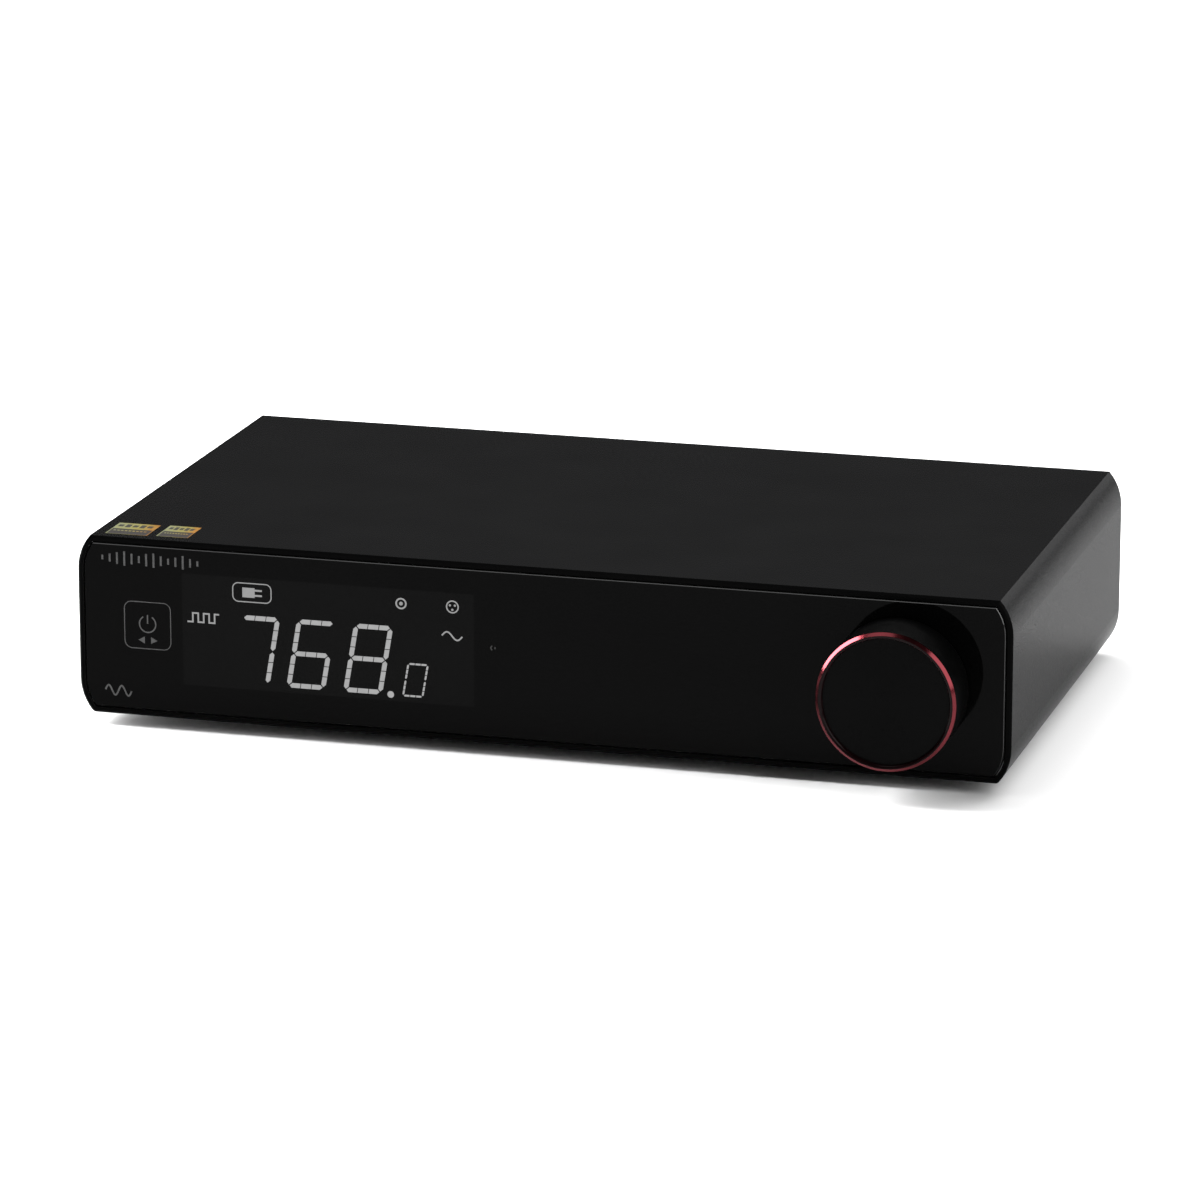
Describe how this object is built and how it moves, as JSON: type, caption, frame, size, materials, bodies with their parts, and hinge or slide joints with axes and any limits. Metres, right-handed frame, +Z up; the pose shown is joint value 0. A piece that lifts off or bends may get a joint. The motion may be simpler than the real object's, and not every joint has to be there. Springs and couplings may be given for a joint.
{
  "type": "desktop digital-to-analogue converter",
  "caption": "Wide, low black desktop converter with a glass front, a lit figure display, a touch square, a push-and-turn knob with a red ring, and a rear row of sockets.",
  "frame": {"origin": "middle of the overall box in X and Y, at the underside of the feet", "axes": "+X to the right seen from the front, -Y towards the front glass, +Z up"},
  "size_m": [0.2, 0.1352, 0.041],
  "materials": {
    "black_sleeve": "bead-blasted, black anodised",
    "smoked_glass": "polished, back-painted black; opaque but for the lit figures",
    "black_tape": "matt",
    "front_frame": "milled",
    "black_screws": "black oxide, satin",
    "display_face": "gloss",
    "black_moulding": "moulded, satin",
    "rocker_black": "moulded, satin",
    "copper_pad": "plain",
    "smoked_lens": "smoked",
    "board_laminate": "solder resist",
    "plated_steel": "plated",
    "plunger_plastic": "natural",
    "knob_black": "turned, black anodised, satin",
    "knob_face_black": "turned, black anodised, satin",
    "knob_red": "bevelled and anodised red, bright",
    "connector_body": "natural",
    "chip_black": "moulded",
    "relay_case": "moulded",
    "capacitor_sleeve": "heat-shrunk sleeve",
    "ferrite": "sintered",
    "winding_tape": "taped",
    "heat_sink_black": "black anodised",
    "fuse_ceramic": "plain",
    "rear_panel_black": "fine-textured black",
    "output_metal": "die-cast, black, satin",
    "gold_plate": "gold plated",
    "nickel_pins": "nickel plated",
    "insulator_white": "moulded",
    "insulator_red": "moulded",
    "foot_rubber": "matt"
  },
  "bodies": {
    "cabinet": {"case_sleeve": "black_sleeve", "front_glass": "smoked_glass", "glass_adhesive": "black_tape", "insulation_sheet": "black_tape", "touch_foam": "black_tape", "front_subframe": "front_frame", "front_screws": "black_screws", "board_screws": "black_screws", "rear_panel_screws": "black_screws", "foot_screws": "black_screws", "display_panel": "display_face", "display_housing": "black_moulding", "trigger_jacks": "black_moulding", "phono_bases": "black_moulding", "optical_socket": "black_moulding", "digital_socket_tongue": "black_moulding", "inlet_body": "black_moulding", "rocker_housing": "black_moulding", "output_inserts": "black_moulding", "phono_insulator_digital": "black_moulding", "touch_pad": "copper_pad", "clock_crystals": "copper_pad", "infrared_receiver": "smoked_lens", "front_board": "board_laminate", "main_board": "board_laminate", "power_board": "board_laminate", "encoder_housing": "plated_steel", "encoder_bush": "plated_steel", "encoder_nut": "plated_steel", "shield_can": "plated_steel", "board_standoffs": "plated_steel", "digital_socket_shell": "plated_steel", "push_dome": "plated_steel", "board_connectors": "connector_body", "converter_chips": "chip_black", "support_chips": "chip_black", "output_relays": "relay_case", "capacitors": "capacitor_sleeve", "transformer_core": "ferrite", "filter_choke": "ferrite", "transformer_winding": "winding_tape", "heat_sink": "heat_sink_black", "mains_fuse": "fuse_ceramic", "rear_panel": "rear_panel_black", "output_housings": "output_metal", "output_pins": "gold_plate", "phono_barrels": "gold_plate", "antenna_socket": "gold_plate", "inlet_pins": "nickel_pins", "phono_insulator_left": "insulator_white", "phono_insulator_right": "insulator_red", "rubber_feet": "foot_rubber"},
    "push_carrier": {"push_plunger": "plunger_plastic"},
    "knob": {"encoder_shaft": "plated_steel", "knob_shell": "knob_black", "knob_ring": "knob_red", "knob_face": "knob_face_black", "knob_grub_screw": "black_screws"},
    "rocker": {"rocker_lever": "rocker_black"},
    "optical_shutter": {"optical_flap": "black_moulding"}
  },
  "joints": [
    {"name": "knob_press", "type": "slide", "parent": "cabinet", "child": "push_carrier", "axis": [0, 1, 0], "range_m": [0, 0.0005], "stiffness_N_per_m": 5000, "springref_m": -0.0003},
    {"name": "knob_turn", "type": "hinge", "parent": "push_carrier", "child": "knob", "pos_m": [0.0768, -0.0604, 0.0218], "axis": [0, 1, 0], "continuous": true},
    {"name": "rocker_tilt", "type": "hinge", "parent": "cabinet", "child": "rocker", "pos_m": [0.053, 0.057, 0.023], "axis": [1, 0, 0], "range_deg": [0, 16]},
    {"name": "optical_shutter_swing", "type": "hinge", "parent": "cabinet", "child": "optical_shutter", "pos_m": [0.022, 0.05665, 0.0205], "axis": [-1, 0, 0], "range_deg": [0, 80], "stiffness_Nm_per_rad": 0.0002, "springref_deg": -11.46}
  ]
}
